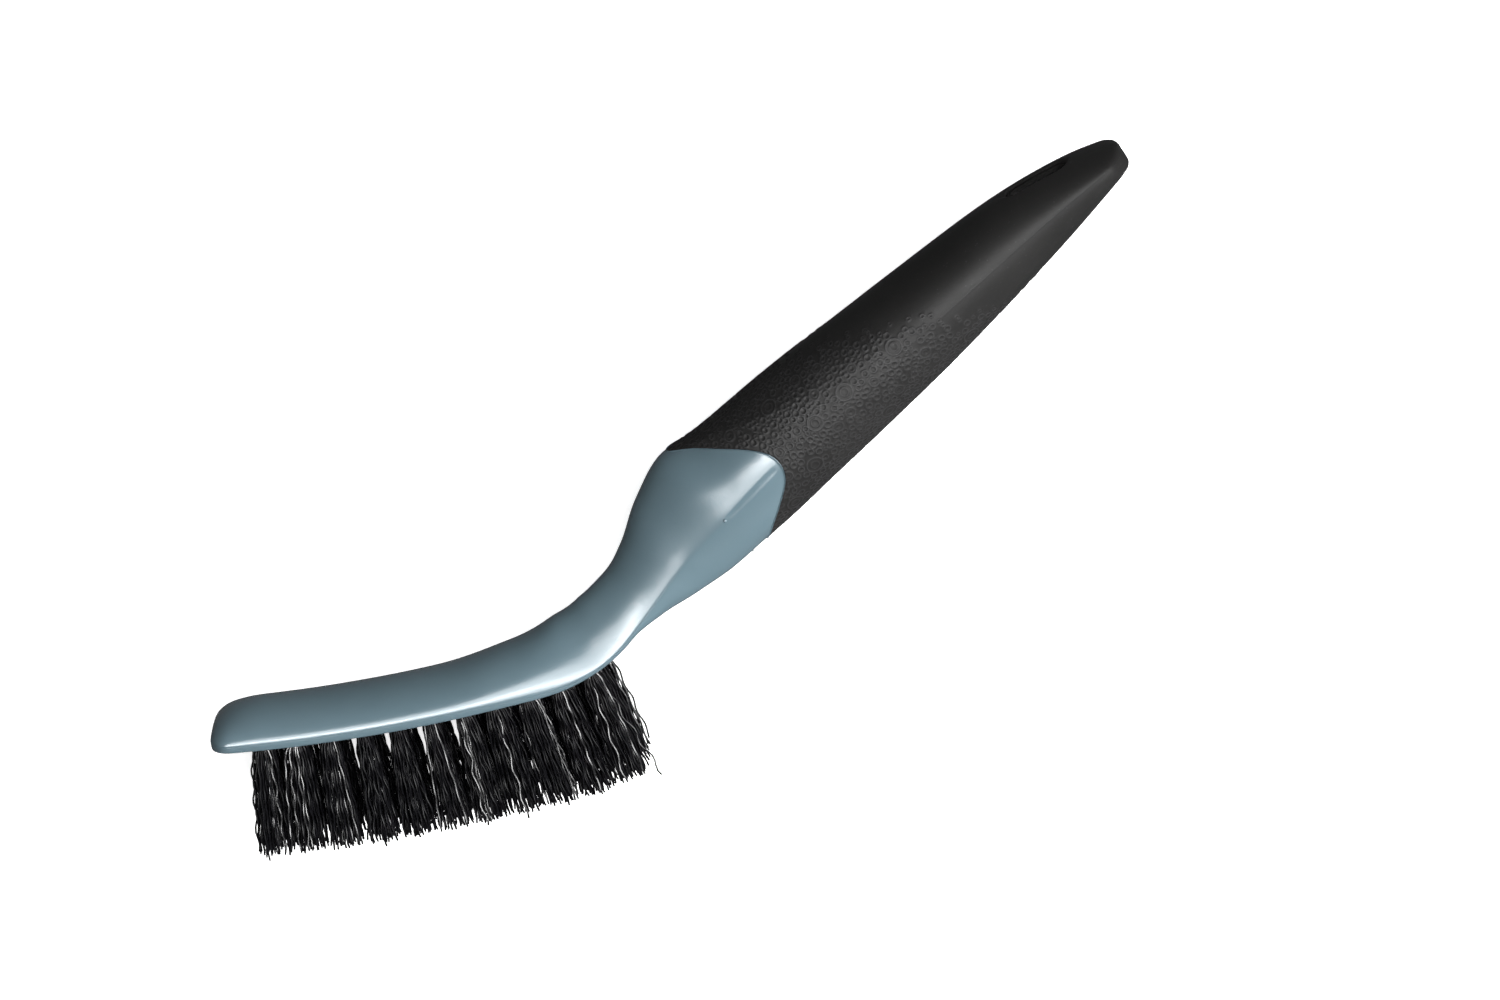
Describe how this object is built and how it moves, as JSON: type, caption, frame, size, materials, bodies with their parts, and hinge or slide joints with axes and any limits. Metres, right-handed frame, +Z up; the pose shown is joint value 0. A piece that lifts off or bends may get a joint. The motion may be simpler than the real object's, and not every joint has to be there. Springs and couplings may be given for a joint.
{
  "type": "hand scrub brush",
  "caption": "Hand-held scrubbing brush: narrow rockered head of stiff crimped bristle tufts, swan neck, soft overmoulded grip and a slot for hanging.",
  "frame": {"origin": "middle of the bounding box in X and Y, on the surface the brush lies on", "axes": "+X from the nose of the head to the handle end, along the line of the bristle tips; +Y from the bristle tips towards the back of the brush; +Z up, across the brush, which lies on its side"},
  "size_m": [0.207, 0.1084, 0.0262],
  "materials": {
    "hard_plastic": "glossy",
    "soft_grip": "matte",
    "bristle": "satin",
    "anchor_steel": "plain"
  },
  "bodies": {
    "root": {"body": "hard_plastic", "grip": "soft_grip", "tuft_anchors": "anchor_steel", "tuft_r1_01": "bristle", "tuft_r1_02": "bristle", "tuft_r1_03": "bristle", "tuft_r1_04": "bristle", "tuft_r1_05": "bristle", "tuft_r1_06": "bristle", "tuft_r1_07": "bristle", "tuft_r1_08": "bristle", "tuft_r1_09": "bristle", "tuft_r1_10": "bristle", "tuft_r1_11": "bristle", "tuft_r2_01": "bristle", "tuft_r2_02": "bristle", "tuft_r2_03": "bristle", "tuft_r2_04": "bristle", "tuft_r2_05": "bristle", "tuft_r2_06": "bristle", "tuft_r2_07": "bristle", "tuft_r2_08": "bristle", "tuft_r2_09": "bristle", "tuft_r2_10": "bristle", "tuft_r2_11": "bristle", "tuft_r3_01": "bristle", "tuft_r3_02": "bristle", "tuft_r3_03": "bristle", "tuft_r3_04": "bristle", "tuft_r3_05": "bristle", "tuft_r3_06": "bristle", "tuft_r3_07": "bristle", "tuft_r3_08": "bristle", "tuft_r3_09": "bristle", "tuft_r3_10": "bristle", "tuft_r3_11": "bristle"}
  },
  "joints": []
}
